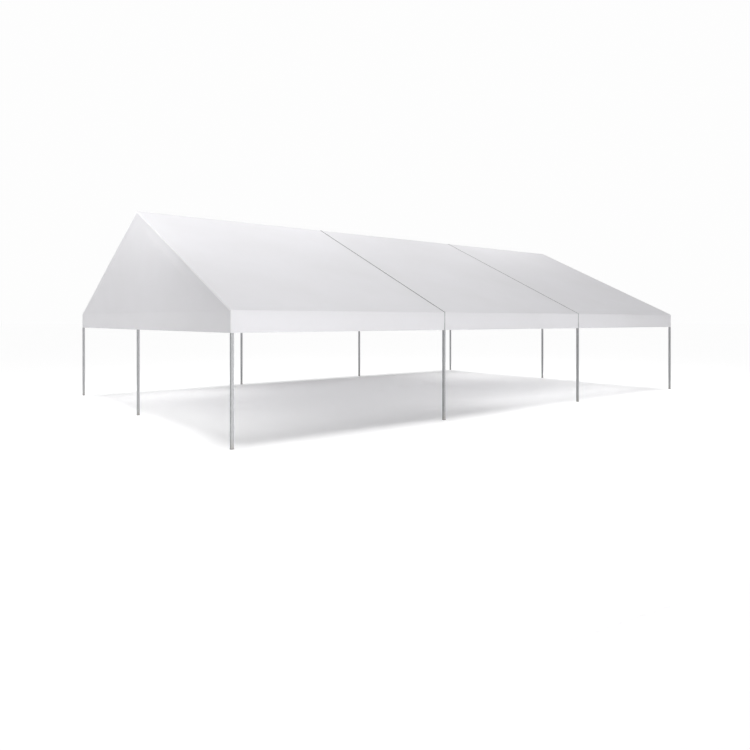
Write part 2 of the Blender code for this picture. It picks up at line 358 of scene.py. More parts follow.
def coated_cloth(name, white, shade, see_through=0.18):
    material, tree, shader = start_material(name, CLOTH_ROUGHNESS)
    surface = shader.outputs["BSDF"].links[0].to_socket
    cloth = add(tree, "UVMap", uv_map="Cloth").outputs["UV"]
    net = place_group(tree, NET, Cloth=cloth, Pitch=CLOTH_PITCH)
    handled = place_group(tree, HANDLED, Cloth=cloth, Crease_Size=CREASE_SIZE)
    colour = blended(tree, between(tree, handled["Patches"], 0.35, 0.7), (*white, 1), (*shade, 1))
    fed(tree, shader.inputs["Base Color"], colour)
    smoothest, roughest = CLOTH_ROUGHNESS - 0.05, CLOTH_ROUGHNESS + 0.08
    fed(tree, shader.inputs["Roughness"], between(tree, handled["Patches"], 0.3, 0.7, smoothest, roughest))
    shader.inputs["Specular IOR Level"].default_value = CLOTH_SPECULAR
    normal = bumped(tree, shader, (net["Height"], NET_HEIGHT), (handled["Height"], CREASE_HEIGHT))
    glow = add(tree, "BsdfTranslucent")
    fed(tree, glow.inputs["Color"], colour)
    tree.links.new(normal, glow.inputs["Normal"])
    mix = add(tree, "MixShader")
    mix.inputs["Fac"].default_value = see_through
    tree.links.new(shader.outputs["BSDF"], mix.inputs[1])
    tree.links.new(glow.outputs["BSDF"], mix.inputs[2])
    tree.links.new(mix.outputs["Shader"], surface)
    return material


GABLE_WHITES = (0.803, 0.798, 0.820), (0.780, 0.775, 0.792)
ROOF_CLOTH = coated_cloth("roof_cloth", (0.813, 0.808, 0.831), (0.790, 0.785, 0.802))
GABLE_CLOTH = coated_cloth("gable_cloth", *GABLE_WHITES)
LINED_CLOTH = coated_cloth("lined_cloth", *GABLE_WHITES, see_through=0.11)
# The binding is whiter than the cloth: partly a clean bound edge, partly a painted highlight along the rake.
BINDING_AND_HIGHLIGHT = coated_cloth("edge_binding_and_painted_highlight", (0.92, 0.915, 0.93), (0.89, 0.885, 0.90), see_through=0.06)
print("cloth:", [cloth.name for cloth in (ROOF_CLOTH, GABLE_CLOTH, LINED_CLOTH, BINDING_AND_HIGHLIGHT)])

# %% [markdown]
# The frame is anodised aluminium: a metal with a satin grey skin. Real anodising is not a mirror, so the
# roughness is high and the die lines show as slight changes of tone. Where it is scuffed it turns brighter
# and smoother, and dust near the ground dulls it.

# %% Material: anodised profile
ALUMINIUM = (0.45, 0.455, 0.465, 1)
# Near black: grime and painted shade for the faces that look up.
GRIME_AND_PAINTED_SHADE = (0.07, 0.07, 0.07, 1)
GRIME_AND_SHADE_SHARE = 0.85
BARE = (0.66, 0.665, 0.67, 1)
DUST_COLOUR = (0.42, 0.39, 0.35, 1)
ANODISED_METALLIC = 0.75
DIE_HEIGHT = 0.00003


def darker(colour, share):
    """An opaque colour with this share of a colour's brightness."""
    return tuple(part * share for part in colour[:3]) + (1,)


def weathered_and_shaded(tree, wear_and_shade, colour, rubbed):
    """Rubs the scuffs bright and darkens what looks up: partly grime, partly painted shade."""
    bright = blended(tree, maths(tree, "MULTIPLY", wear_and_shade["Scuffs"], rubbed), colour, BARE)
    return blended(tree, maths(tree, "MULTIPLY", wear_and_shade["Settled And Shaded"], GRIME_AND_SHADE_SHARE), bright, GRIME_AND_PAINTED_SHADE)


def profile_finish(name, along):
    material, tree, shader = start_material(name, 0.5, ANODISED_METALLIC)
    lines = place_group(tree, DIE_LINES, Along=along, Line_Width=0.0012, Stretch=300.0)
    wear_and_shade = place_group(tree, WEAR_AND_SHADE, Scuff_Size=0.05, Dust_Height=0.35)
    tone = between(tree, lines["Tone"], 0.3, 0.7)
    grey = blended(tree, tone, ALUMINIUM, darker(ALUMINIUM, 0.9))
    # Faces that look up go almost black: partly grime, partly painted shade that darkens the ribs on the
    # roof.
    worn_and_shaded = weathered_and_shaded(tree, wear_and_shade, grey, rubbed=0.35)
    fed(tree, shader.inputs["Base Color"], blended(tree, wear_and_shade["Dust"], worn_and_shaded, DUST_COLOUR))
    fed(tree, shader.inputs["Roughness"], between(tree, lines["Tone"], 0.2, 0.8, 0.44, 0.60))
    fed(tree, shader.inputs["Metallic"], maths(tree, "SUBTRACT", ANODISED_METALLIC, wear_and_shade["Dust"]))
    bumped(tree, shader, (lines["Height"], DIE_HEIGHT))
    return material


UPRIGHT = profile_finish("profile_upright", (0, 0, 1))
ALONG_X = profile_finish("profile_along", (1, 0, 0))
ALONG_Y = profile_finish("profile_across", (0, 1, 0))
RAFTER_FINISH = {
    "front": profile_finish("profile_front_slope", (0, math.cos(SLOPE), math.sin(SLOPE))),
    "back": profile_finish("profile_back_slope", (0, -math.cos(SLOPE), math.sin(SLOPE))),
}
print("profile finishes:", 3 + len(RAFTER_FINISH))

# %% [markdown]
# Brackets are cut and welded from plate and then dipped in zinc, which freezes in flat crystals called
# spangle. Voronoi cells give the crystals, each with its own grey. Bolts are plated, with finer crystals and
# a smoother face. The cable is drawn wire, a little darker.

# %% Materials: zinc, plated steel and wire
ZINC_METALLIC = 0.9
CRYSTAL_HEIGHT = 0.00002
SCUFF_HEIGHT = 0.00003


def zinc_finish(name, grey, spangle, roughness, contrast):
    material, tree, shader = start_material(name, roughness, ZINC_METALLIC)
    cells = add(tree, "TexVoronoi")
    fed(tree, cells.inputs["Vector"], add(tree, "TexCoord").outputs["Object"])
    cells.inputs["Scale"].default_value = 1 / spangle
    crystal = add(tree, "SeparateColor")
    fed(tree, crystal.inputs[0], cells.outputs["Color"])
    wear_and_shade = place_group(tree, WEAR_AND_SHADE, Scuff_Size=0.02, Dust_Height=0.10)
    colour = blended(tree, crystal.outputs[0], (*grey, 1), darker(grey, 1 - contrast))
    # Faces that look up are darkened here too: grime and painted shade.
    fed(tree, shader.inputs["Base Color"], weathered_and_shaded(tree, wear_and_shade, colour, rubbed=0.3))
    rough = between(tree, crystal.outputs[1], 0.0, 1.0, roughness - 0.06, roughness + 0.10)
    fed(tree, shader.inputs["Roughness"], rough)
    bumped(tree, shader, (crystal.outputs[2], CRYSTAL_HEIGHT), (wear_and_shade["Scuffs"], SCUFF_HEIGHT))
    return material


BRACKET = zinc_finish("bracket_zinc", (0.50, 0.51, 0.52), spangle=0.012, roughness=0.42, contrast=0.22)
PLATED = zinc_finish("plated_fastener", (0.60, 0.60, 0.58), spangle=0.004, roughness=0.28, contrast=0.12)
WIRE = zinc_finish("drawn_wire", (0.44, 0.45, 0.46), spangle=0.003, roughness=0.36, contrast=0.25)
print("metals:", BRACKET.name, PLATED.name, WIRE.name)

# %% [markdown]
# Now the sheets. A roof panel is one piece of cloth that goes up the front valance, over the eave beam, up
# the slope, over the ridge and down again. Its cross section is the same everywhere, so the section is
# worked out once as a row of stations, and then repeated along the bay. The corners are small arcs, because
# cloth pulled over a beam takes the beam's own edge radius. With a larger one the beam's corner would poke
# through. Each station can also be had further in from the cloth's own line, which the turned edges need.

# %% The section of a roof panel
CLOTH = 0.0009
LIE = 0.0005
EAVE_ROUND = 0.003
RIDGE_ROUND = 0.005
LEAST_ROUND = 0.002
BASE = SHOULDER - LIE
CLOTH_Y = OUTER_Y - BASE
HEM = 0.040
STEP = 0.0012


def slope_line(y, inward):
    """Height of the cloth's slope at a distance y from the middle, moved inward."""
    fall = (OUTER_Y - abs(y)) * math.tan(SLOPE)
    return EAVE_Z + fall - (BASE + inward) / math.cos(SLOPE)


def arc(y, z, radius, start, end, count):
    angles = np.linspace(start, end, count)
    return np.stack([y + radius * np.cos(angles), z + radius * np.sin(angles)], 1)


FACING = math.pi / 2 - SLOPE
VALANCE_SHARES = np.concatenate([[0, STEP, HEM - STEP, HEM], np.linspace(0.10, 0.42, 6)]) / (EAVE_Z - HEM_Z)
SLOPE_SHARES = np.concatenate([[0.004, 0.010], np.linspace(0.018, 0.982, 76), [0.990, 0.996]])


def half_section(inward):
    """Stations from the hem to the ridge on the back half, as (y, z)."""
    eave_round = max(EAVE_ROUND - inward, LEAST_ROUND)
    ridge_round = max(RIDGE_ROUND - inward, LEAST_ROUND)
    face = CLOTH_Y - inward
    eave_z = slope_line(face - eave_round, inward + eave_round)
    ridge_z = slope_line(0, inward + ridge_round)
    eave = arc(face - eave_round, eave_z, eave_round, 0, FACING, 8)
    ridge = arc(0, ridge_z, ridge_round, FACING, math.pi / 2, 6)
    valance = np.stack([np.full(len(VALANCE_SHARES), face), HEM_Z + VALANCE_SHARES * (eave_z - HEM_Z)], 1)
    slope = eave[-1] + SLOPE_SHARES[:, None] * (ridge[0] - eave[-1])
    return np.concatenate([valance, eave, slope, ridge])


def section(inward):
    """The whole section, from the front hem to the back hem."""
    back = half_section(inward)
    front = back * (-1, 1)
    return np.concatenate([front, back[-2::-1]])


CLOTH_LINE = section(0.0)
STEPS = np.linalg.norm(np.diff(CLOTH_LINE, axis=0), axis=1)
ALONG = np.concatenate([[0], np.cumsum(STEPS)])
PANEL_LENGTH = ALONG[-1]
print(f"a roof panel runs {PANEL_LENGTH:.3f} m from hem to hem, in {len(ALONG)} stations")

# %% [markdown]
# Each station has a direction that points out of the tent, for sag and waves, and masks that say how much
# of each movement it takes. The cloth lies on the eave beam and the ridge beam, so the slope sags only
# between them. The valance hangs free below its fold, so its waves grow towards the hem.

# %% Masks along the section
def outward_of(line):
    run = np.gradient(line, axis=0)
    out = np.stack([-run[:, 1], run[:, 0]], 1)
    return out / np.linalg.norm(out, axis=1)[:, None]


def smooth(value, start, end):
    share = np.clip((value - start) / (end - start), 0, 1)
    return share * share * (3 - 2 * share)


OUT = outward_of(CLOTH_LINE)
SIDE_Y = np.abs(CLOTH_LINE[:, 0])
EAVE_BEAM_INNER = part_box("eave_beam_back_1")[0].y
FREE = np.clip((EAVE_BEAM_INNER - SIDE_Y) / (EAVE_BEAM_INNER - HALF_PROFILE), 0, 1)
ON_SLOPE = (SIDE_Y < EAVE_BEAM_INNER) & (SIDE_Y > HALF_PROFILE)
SAG_MASK = np.where(ON_SLOPE, np.sin(np.pi * FREE) ** 0.8, 0.0)
ON_VALANCE = CLOTH_LINE[:, 1] < EAVE_Z - 0.02
DROP = np.where(ON_VALANCE, np.clip((EAVE_Z - CLOTH_LINE[:, 1]) / (EAVE_Z - HEM_Z), 0, 1), 0.0)
print("stations that sag:", int(ON_SLOPE.sum()), "and that hang:", int(ON_VALANCE.sum()))

# %% [markdown]
# Along the bay the sheet is a row of columns. Where a panel meets an inner frame, its edge rolls over the
# profile's shoulder into a slot beside the raised rib. The bracket at the eave and the one at the ridge
# have no slot, so there the edge lies flat and stops at the rib. At the gable ends the panel runs past the
# frame, turns over its corner and lies as a narrow flap on the gable sheet. Each column is therefore a
# place along the bay and a depth inward, and an edge is a short list of them.

# %% Edges of a panel
SLOT_DIVE = 0.0055
SLOT_BLEND = 0.03
FLAP = 0.038
FLAP_FACE = END_FACE + 0.0020
FLAP_ROUND = 0.003
FLAP_COLUMNS = 6

# How far from the frame's middle each column lies: in the slot, on a bracket, and how deep it goes
ROLLED_EDGE = [(0.0196, 0.0158, 1.0), (0.0197, 0.0164, 0.3), (0.0202, 0.0172, 0.05), (0.0216, 0.0200, 0.0),
               (0.0250, 0.0250, 0.0), (0.0325, 0.0325, 0.0), (0.0420, 0.0420, 0.0), (0.0600, 0.0600, 0.0)]


def turned_edge():
    """Columns of a gable end as (distance out from the frame's middle, inward), from the flap's edge in."""
    face = FLAP_FACE + FRAME_X[0]
    columns = [(face, depth) for depth in (FLAP, FLAP - STEP, FLAP * 0.6, FLAP * 0.3)]
    for turn in np.linspace(0, math.pi / 2, 5):
        columns.append((face - FLAP_ROUND * (1 - math.cos(turn)), FLAP_ROUND * (1 - math.sin(turn))))
    return columns + [(0.020, 0.0), (-0.010, 0.0), (-HALF_PROFILE, 0.0), (-0.045, 0.0), (-0.060, 0.0)]


def slot_share():
    """1 at stations where the frame has a slot, 0 on its brackets."""
    leg_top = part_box("leg_back_2")[1].z
    rafter_low, rafter_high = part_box("rafter_back_2")
    on_leg = smooth(-CLOTH_LINE[:, 1], -leg_top, -leg_top + SLOT_BLEND)
    foot_y, head_y = rafter_high.y, rafter_low.y
    past_foot = smooth(-SIDE_Y, -foot_y, -foot_y + SLOT_BLEND)
    past_head = smooth(SIDE_Y, head_y, head_y + SLOT_BLEND)
    return np.maximum(on_leg, past_foot * past_head)


SLOTTED = slot_share()
print("flap", FLAP, "m, slots along", round(float(SLOTTED.mean()), 2), "of the section")

# %% [markdown]
# Cloth comes on rolls, so a bay of six metres is welded from three widths. The overlap of each weld is two
# layers thick, and so is the hem. A vertex group holds the number of layers, and Solidify reads it, so the
# doubled bands stand up from the sheet by one thickness. The columns are close together at the edges of
# each band.

# %% Columns across a sheet
WELD = 0.030


def welded_columns(start, end, inset, count, widths):
    """Regular columns between two edges, with close ones at the welds, and where the welds are."""
    regular = np.linspace(start + inset, end - inset, count)
    welds = [start + (end - start) * k / widths for k in range(1, widths)]
    edges = [side * (WELD / 2 + extra) for side in (-1, 1) for extra in (-STEP / 2, STEP / 2)]
    near = [w + edge for w in welds for edge in edges]
    clear = [x for x in regular if all(abs(x - w) > WELD for w in welds)]
    return np.array(sorted(clear + near)), welds


def on_welds(places, welds):
    """True where a place lies in the overlap of a weld."""
    return np.any([np.abs(places - weld) < WELD / 2 for weld in welds], axis=0)


# %% [markdown]
# Tensioned cloth is not flat. It sags a few centimetres in the middle of each slope, pulls shallow folds
# out of its corners, and puckers slightly along its edges. All of it is a sum of smooth functions of the
# place on the sheet, moved along the outward direction. The phases come from a seeded generator, so each
# run is the same and each bay is different.

# %% Shape of a tensioned panel
SAG = 0.030
FAN = 0.0022
FAN_FOLDS = 9
FAN_REACH = 1.1
PUCKER = 0.0005
PUCKER_REACH = 0.12
UNDULATION = 0.0030
VALANCE_WAVE = 0.005


def ripple(random, u, v, waves, shortest, longest):
    """A sum of plane waves with random directions, between -1 and 1."""
    total = np.zeros(np.broadcast(u, v).shape)
    for _ in range(waves):
        length = random.uniform(shortest, longest)
        turn = random.uniform(0, math.pi)
        phase = random.uniform(0, 2 * math.pi)
        total += np.sin(2 * math.pi * (u * math.cos(turn) + v * math.sin(turn)) / length + phase)
    return total / waves


def slope_shape(random, across, width, along):
    """How far the slope stands out, for a place across the bay and along the section."""
    free = np.sin(np.pi * (across / width))
    sag = -SAG * free ** 0.9
    waves = UNDULATION * free ** 0.5 * ripple(random, across, along, 6, 1.4, 3.2)
    to_edge = np.minimum(across, width - across)
    near_edge = np.exp(-to_edge / PUCKER_REACH) * smooth(to_edge, 0.0, PUCKER_REACH / 4)
    return sag + waves + PUCKER * near_edge * ripple(random, 0, along, 4, 0.16, 0.4)


def fan_shape(random, across, width, along, start, end):
    """Shallow folds that spread from the four corners of a slope."""
    total = 0.0
    for corner_x in (0.0, width):
        for corner_s in (start, end):
            du = np.abs(across - corner_x)
            dv = np.abs(along - corner_s)
            reach = np.hypot(du, dv)
            angle = np.arctan2(dv, du)
            phase = random.uniform(0, 2 * math.pi)
            folds = np.sin(FAN_FOLDS * angle + phase) * np.sin(2 * angle)
            total = total + folds * np.exp(-reach / FAN_REACH) * smooth(reach, 0.05, 0.6)
    return FAN * total


def valance_shape(random, across, free, longest):
    """Waves of a hanging valance, outwards from the frame's face. free is 0 where something holds it."""
    return VALANCE_WAVE * free * (1 + ripple(random, across, 0, 4, 0.9, longest)) / 1.4


# %% [markdown]
# A sheet starts as a grid of points. The helper below turns any such grid into a mesh with a UV map in
# metres, writes the number of layers into a vertex group, thickens it outwards with Solidify, and keeps the
# result as a plain mesh whose steps stay crisp.

# %% From a grid of points to a sheet
MOST_LAYERS = 3
SHEET_CREASE = 32   # degrees between faces, above which an edge is drawn sharp


def crisp(mesh, degrees):
    """Smooth shading, with edges left sharp where the surface turns by more than these degrees."""
    mesh.shade_smooth()
    mesh.set_sharp_from_angle(angle=math.radians(degrees))


def grid_sheet(name, points, cloth_uv, layers, materials, face_material):
    """A sheet from a grid of points, each with its place on the cloth and its number of layers."""
    columns, rows = points.shape[:2]
    index = np.arange(columns * rows).reshape(columns, rows)
    faces = np.stack([index[:-1, :-1], index[1:, :-1], index[1:, 1:], index[:-1, 1:]], -1).reshape(-1, 4)
    mesh = bpy.data.meshes.new(name)
    mesh.from_pydata(points.reshape(-1, 3).tolist(), [], faces.tolist())
    uv = mesh.uv_layers.new(name="Cloth")
    corners = np.empty(len(mesh.loops), np.int32)
    mesh.loops.foreach_get("vertex_index", corners)
    uv.data.foreach_set("uv", cloth_uv.reshape(-1, 2)[corners].astype(np.float32).ravel())
    for material in materials:
        mesh.materials.append(material)
    mesh.polygons.foreach_set("material_index", face_material.reshape(-1).astype(np.int32))
    guide = placed(name + "_guide", mesh)
    group = guide.vertex_groups.new(name="layers")
    for count in np.unique(layers):
        group.add(index[layers == count].tolist(), float(count) / MOST_LAYERS, "REPLACE")
    thicken = guide.modifiers.new("thickness", "SOLIDIFY")
    thicken.thickness = MOST_LAYERS * CLOTH
    thicken.offset = 1.0
    thicken.vertex_group = "layers"
    evaluated = guide.evaluated_get(bpy.context.evaluated_depsgraph_get())
    solid = bpy.data.meshes.new_from_object(evaluated)
    bpy.data.objects.remove(guide, do_unlink=True)
    solid.name = name
    crisp(solid, SHEET_CREASE)
    return placed(name, solid)


# %% [markdown]
# Here the columns, the section and the shape come together. Columns of an inner edge are worked out station
# by station, because the edge dives only where there is a slot. The flap of a gable end is given the
# binding's material, which is the bright line that runs up the rake. Its extra white is partly a painted
# highlight.

# %% One roof panel
WIDTHS = 3
FIRST_COLUMN = 0.085   # from the middle of a frame
COLUMNS = 58
MEASURED_AT = 60   # the station on the slope along which the sheet's width is measured


def edge_columns(frame_x, towards, is_end):
    """(x, inward) at every station for the columns of one edge, from the free edge into the bay."""
    if is_end:
        ones = np.ones(len(ALONG))
        return [(ones * (frame_x - towards * distance), ones * inward) for distance, inward in turned_edge()]
    columns = []
    for in_slot, on_bracket, dive in ROLLED_EDGE:
        distance = on_bracket + (in_slot - on_bracket) * SLOTTED
        columns.append((frame_x + towards * distance, SLOTTED * dive * SLOT_DIVE))
    return columns


def shifted_line(inward):
    """The section with each station moved inward by its own depth."""
    depths = np.array([0.0, FLAP_ROUND / 2, FLAP_ROUND, SLOT_DIVE, FLAP * 0.3, FLAP * 0.6, FLAP])
    lines = np.stack([section(d) for d in depths])
    line = np.empty_like(CLOTH_LINE)
    for axis in range(2):
        for j in range(len(inward)):
            line[j, axis] = np.interp(inward[j], depths, lines[:, j, axis])
    return line


def roof_sheet(number):
    left, right = FRAME_X[number - 1], FRAME_X[number]
    first, last = number == 1, number == len(FRAME_X) - 1
    random = np.random.default_rng(40 + number)
    inner_x, welds = welded_columns(left, right, FIRST_COLUMN, COLUMNS, WIDTHS)
    none = np.zeros(len(ALONG))
    columns = edge_columns(left, 1, first)
    columns += [(np.full(len(ALONG), x), none) for x in inner_x]
    columns += reversed(edge_columns(right, -1, last))
    xs = np.stack([x for x, _ in columns])
    lines = np.stack([shifted_line(n) if n.any() else CLOTH_LINE for _, n in columns])
    width = right - left - 2 * HALF_PROFILE
    across = np.clip(xs - left - HALF_PROFILE, 0, width)
    front = np.arange(len(ALONG)) < len(ALONG) / 2
    eave_at = ALONG[np.argmax(ON_SLOPE)]
    stand = np.zeros(xs.shape)
    for side in (front, ~front):
        along = np.where(side, ALONG, PANEL_LENGTH - ALONG)
        slope = slope_shape(random, across, width, along)
        slope = slope + fan_shape(random, across, width, along, eave_at, PANEL_LENGTH / 2)
        hang = valance_shape(random, across, np.sin(np.pi * (across / width)) ** 0.6, 2.6) * DROP ** 1.5
        stand += np.where(side, slope * SAG_MASK + hang, 0.0)
    points = np.stack([xs, lines[..., 0] + stand * OUT[:, 0], lines[..., 1] + stand * OUT[:, 1]], -1)
    measured = np.stack([xs[:, MEASURED_AT], lines[:, MEASURED_AT, 1]])
    reach = np.concatenate([[0], np.cumsum(np.hypot(*np.diff(measured, axis=1)))])
    cloth_uv = np.stack(np.broadcast_arrays(reach[:, None], ALONG[None, :]), -1)
    from_hem = np.minimum(ALONG, PANEL_LENGTH - ALONG)
    doubled = (from_hem < HEM - STEP / 2)[None, :] | on_welds(xs, welds)
    # The flap's faces take the binding, whose extra white is partly a painted highlight.
    binding_and_highlight = np.zeros((xs.shape[0] - 1, xs.shape[1] - 1), bool)
    for is_end, strip in ((first, slice(None, FLAP_COLUMNS)), (last, slice(-FLAP_COLUMNS, None))):
        binding_and_highlight[strip] |= is_end
        doubled[strip] |= is_end
    piece = grid_sheet(f"roof_sheet_{number}", points, cloth_uv, 1 + doubled, [ROOF_CLOTH, BINDING_AND_HIGHLIGHT], binding_and_highlight)
    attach(piece, "root")
    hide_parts(f"roof_panel_{number}")
    return piece


ROOF = [roof_sheet(number) for number in (1, 2, 3)]
print("roof panels:", [len(piece.data.polygons) for piece in ROOF], "faces")

# %% [markdown]
# A gable is one sheet as well, a triangle with the end valance below it. The grid follows the rake: its
# rows are spread between the fold and the rake, so they close up towards the corners. Wind and tension make
# the triangle belly out a little, while the valance hangs straight from the beam behind the fold. The
# valance is lined with a second layer, so it lets less light through. Both together show as a soft line at
# eave height.

# %% Gable sheets
GABLE_FACE = END_FACE + 0.0005
FOLD_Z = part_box("gable_beam_left_front")[1].z + 0.015
BELLY = 0.110
FOLD_SOFTNESS = 0.006
GABLE_UNDER = 0.004
GABLE_WIDTHS = 6
GABLE_COLUMNS = 121
GABLE_WAVE = 0.003
RIM = 0.35   # from the rake inwards, the belly grows over this distance
LEAST_RISE = 0.002


def gable_sheet(end, side_name):
    random = np.random.default_rng(60 + end)
    edge_y = CLOTH_Y - GABLE_UNDER
    ys, welds = welded_columns(-edge_y, edge_y, 0, GABLE_COLUMNS, GABLE_WIDTHS)
    low = np.concatenate([[0, STEP, HEM - STEP, HEM], np.linspace(0.09, FOLD_Z - HEM_Z - 0.03, 6),
                          np.linspace(-0.02, 0.0, 3) + FOLD_Z - HEM_Z]) + HEM_Z
    high = np.concatenate([[0.004, 0.009], np.linspace(0.018, 1.0, 52)])
    rake = np.array([slope_line(y, GABLE_UNDER) for y in ys])
    upper = FOLD_Z + high[None, :] * np.maximum(rake - FOLD_Z, LEAST_RISE)[:, None]
    zs = np.concatenate([np.broadcast_to(low, (len(ys), len(low))), upper], 1)
    share = np.clip((zs - FOLD_Z) / (RIDGE_Z - FOLD_Z), 0, 1)
    room = rake[:, None] - zs
    soft = np.sqrt(share ** 2 + FOLD_SOFTNESS ** 2) - FOLD_SOFTNESS
    belly = BELLY * np.sin(np.pi * soft) * (1 - (ys / edge_y) ** 4)[:, None] * smooth(room, 0, RIM)
    waves = GABLE_WAVE * ripple(random, ys[:, None], zs, 5, 1.2, 3.0) * smooth(share, 0, 0.2)
    waves = waves * np.clip(room / RIM, 0, 1)
    drop = np.clip((FOLD_Z - zs) / (FOLD_Z - HEM_Z), 0, 1)
    free = np.cos(0.5 * np.pi * ys / edge_y) ** 0.5 * np.abs(np.sin(np.pi * ys / edge_y)) ** 0.5
    hang = drop ** 1.5 * valance_shape(random, ys, free, 2.4)[:, None]
    xs = end * (GABLE_FACE + belly + waves + hang)
    points = np.stack([xs, np.broadcast_to(ys[:, None], zs.shape), zs], -1)
    cloth_uv = np.stack([points[..., 1] + edge_y, zs - HEM_Z], -1)
    doubled = (zs - HEM_Z < HEM - STEP / 2) | on_welds(ys, welds)[:, None]
    lined = np.arange(zs.shape[1]) < len(low)
    layers = 1 + doubled + lined[None, :]
    lining = np.broadcast_to(lined[1:], (len(ys) - 1, zs.shape[1] - 1))
    order = slice(None, None, end)
    piece = grid_sheet(f"gable_sheet_{side_name}", points[order], cloth_uv[order], layers[order],
                       [GABLE_CLOTH, LINED_CLOTH], lining)
    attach(piece, "root")
    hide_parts(f"gable_panel_{side_name}")


for gable_end, gable_side in ((-1, "left"), (1, "right")):
    gable_sheet(gable_end, gable_side)

# %% [markdown]
# The joints of the frame are bolted. Bolts, plates and fittings are small, so they are built in mesh code
# as stacks of rings: a ring of points is a slice, and the sides are the faces between two slices. A washer,
# a hex head, a rod and a rounded plate are all such stacks. Each placing has its Z axis pointing out of the
# surface.

# %% Helpers for small metal pieces
METAL_CREASE = 30


def out_of(point, direction):
    """A placing at a point on a surface, with Z pointing out of it and Y as near to upwards as it can be."""
    turn = Vector(direction).to_track_quat("Z", "Y").to_matrix().to_4x4()
    return Matrix.Translation(point) @ turn


def stacked(bm, placing, rings):
    """Joins rings of points, each a list of (x, y, z), into one closed shape with flat ends."""
    made = [[bm.verts.new(placing @ Vector(point)) for point in ring] for ring in rings]
    count = len(made[0])
    for lower, upper in zip(made, made[1:]):
        for i in range(count):
            bm.faces.new((lower[i], lower[(i + 1) % count], upper[(i + 1) % count], upper[i]))
    bm.faces.new(list(reversed(made[0])))
    bm.faces.new(made[-1])


def turned(bm, placing, outline, sides=16):
    """A round or many-sided shape from (radius, height) pairs along the placing's Z axis."""
    angles = [2 * math.pi * k / sides for k in range(sides)]
    stacked(bm, placing, [[(r * math.cos(a), r * math.sin(a), h) for a in angles] for r, h in outline])


def rounded_box(half_x, half_y, corner, steps=4):
    """Points round a rectangle with rounded corners."""
    points = []
    for quarter, (sx, sy) in enumerate(((1, 1), (-1, 1), (-1, -1), (1, -1))):
        for k in range(steps + 1):
            angle = math.pi / 2 * (quarter + k / steps)
            points.append((sx * (half_x - corner) + corner * math.cos(angle),
                           sy * (half_y - corner) + corner * math.sin(angle)))
    return points


def plate(bm, placing, width, height, thick, corner=0.005):
    """A plate that lies on the placing's XY plane, with its outer edge broken by a small chamfer."""
    chamfer = min(0.001, thick / 4)
    full = rounded_box(width / 2, height / 2, corner)
    inner = rounded_box(width / 2 - chamfer, height / 2 - chamfer, corner)
    rings = [(full, 0.0), (full, thick - chamfer), (inner, thick)]
    stacked(bm, placing, [[(x, y, z) for x, y in ring] for ring, z in rings])


def bolt(bm, point, direction, radius=0.006):
    """A hexagon head on a washer. The sizes follow the bolt's own radius, as the real series does."""
    washer = 0.4 * radius
    head = washer + 1.25 * radius
    placing = out_of(point, direction)
    turned(bm, placing, [(2.0 * radius, 0), (2.0 * radius, 0.7 * washer), (1.9 * radius, washer)])
    rim = 1.72 * radius
    turned(bm, placing, [(rim, washer), (rim, head - 0.15 * radius), (1.5 * radius, head)], 6)


def bar(bm, start, end, radius, sides=12):
    start, end = Vector(start), Vector(end)
    turned(bm, out_of(start, end - start), [(radius, 0), (radius, (end - start).length)], sides)


def metal_piece(name, bm, *materials, slot="bracket"):
    """Keeps what was built as one piece of the tent."""
    mesh = bpy.data.meshes.new(name)
    bmesh.ops.recalc_face_normals(bm, faces=bm.faces)
    bm.to_mesh(mesh)
    bm.free()
    crisp(mesh, METAL_CREASE)
    for material in materials:
        mesh.materials.append(material)
    piece = placed(name, mesh)
    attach(piece, "root")
    return piece


# %% [markdown]
# Inside every joint a stub reaches from the bracket into the hollow profile, and two bolts hold it on each
# side of the joint. The end frames carry a gable sheet on their outer faces, so their heads are on the
# inner face only. The heads sit in the flat of the profile below its side groove, on a line that follows
# the slope.

# %% Bolts at the brackets
RAFTER_DEPTH = 0.100
BOLT_LINE = 0.060
LEG_BOLT_LINE = 0.042
PITCH = 0.060
FIRST = 0.055
rafter_low, rafter_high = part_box("rafter_back_2")
ARM = (OUTER_Y - rafter_high.y) / math.cos(SLOPE)
RIDGE_JOINT = (OUTER_Y - rafter_low.y - (SHOULDER + RAFTER_DEPTH) * math.sin(SLOPE)) / math.cos(SLOPE)
LEG_JOINT_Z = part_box("leg_back_2")[1].z


def on_slope(along, below, side):
    """(y, z) of a place along the slope from the eave, below the frame's shoulder."""
    depth = SHOULDER + below
    y = OUTER_Y - along * math.cos(SLOPE) - depth * math.sin(SLOPE)
    return side * y, EAVE_Z + along * math.sin(SLOPE) - depth * math.cos(SLOPE)


def faces_of(index):
    """The sides of a frame that show bare metal: both, or the inner one of an end frame."""
    return {0: (1,), len(FRAME_X) - 1: (-1,)}.get(index, (-1, 1))


def bracket_bolts(index):
    bm = bmesh.new()
    spread = [sign * d for sign in (-1, 1) for d in (FIRST, FIRST + PITCH)]
    places = []
    for side in (-1, 1):
        for joint in (ARM, RIDGE_JOINT):
            places += [on_slope(joint + d, BOLT_LINE, side) for d in spread]
        leg_y = side * (OUTER_Y - SHOULDER - LEG_BOLT_LINE)
        places += [(leg_y, LEG_JOINT_Z + d) for d in spread]
    for face in faces_of(index):
        for y, z in places:
            bolt(bm, (FRAME_X[index] + face * HALF_PROFILE, y, z), (face, 0, 0))
    return metal_piece(f"bracket_bolts_{index + 1}", bm, PLATED)


BRACKET_BOLTS = [bracket_bolts(index) for index in range(len(FRAME_X))]
print("bracket bolts, faces a frame:", [len(piece.data.polygons) for piece in BRACKET_BOLTS])

